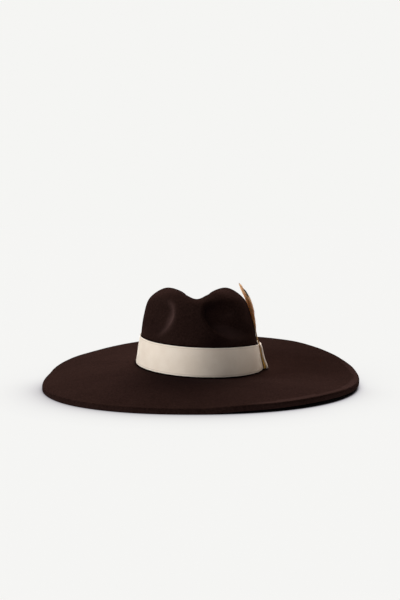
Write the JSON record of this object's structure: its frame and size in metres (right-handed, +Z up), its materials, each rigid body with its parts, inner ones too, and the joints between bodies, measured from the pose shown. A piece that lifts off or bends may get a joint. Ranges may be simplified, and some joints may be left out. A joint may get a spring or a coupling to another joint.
{
  "type": "wide-brimmed felt hat",
  "caption": "Wide-brimmed felt hat with a pinched, creased crown, ribbon band and tucked feather, open below for the head.",
  "frame": {"origin": "centre of the footprint of the brim, on the surface the brim's edge rests on", "axes": "+Z up through the crown, -Y towards the wearer's front, +X towards the wearer's left, where the feather is"},
  "size_m": [0.4199, 0.4294, 0.1327],
  "materials": {
    "felt": "dark brown wool felt with a short nap",
    "ribbon": "cream ribbed ribbon, satin",
    "feather": "tan barbs with dark marks on an amber shaft"
  },
  "bodies": {
    "root": {"felt_body": "felt", "hat_band": "ribbon", "band_overlap": "ribbon", "feather": "feather"}
  },
  "joints": []
}
